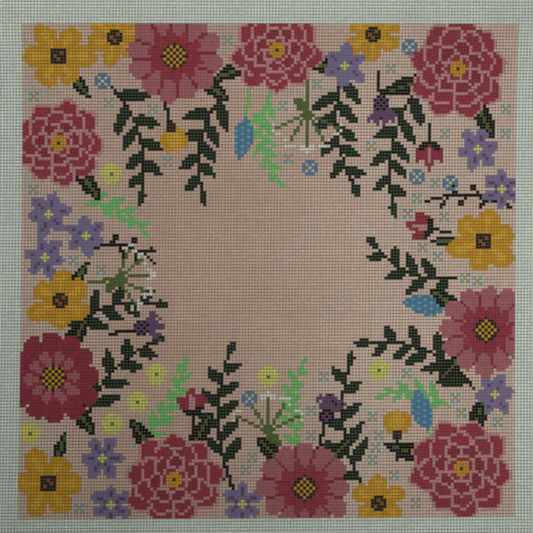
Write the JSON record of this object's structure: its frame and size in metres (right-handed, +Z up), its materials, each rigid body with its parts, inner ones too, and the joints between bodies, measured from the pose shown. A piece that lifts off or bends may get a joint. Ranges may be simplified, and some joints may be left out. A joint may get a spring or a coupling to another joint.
{
  "type": "needlepoint canvas panel",
  "caption": "Square open-mesh needlepoint canvas, painted with a floral border round a plain pink centre, with blank margins for stretching, lying flat.",
  "frame": {"origin": "under the middle of the panel, on the surface that it lies on", "axes": "+Z up out of the painted face, +Y to the top of the design, +X to its right"},
  "size_m": [0.512, 0.5064, 0.0015],
  "materials": {
    "painted_canvas": "stiff sized cotton mesh, hand painted in matt colours, bare off-white at the margins"
  },
  "bodies": {
    "root": {"canvas": "painted_canvas"}
  },
  "joints": []
}
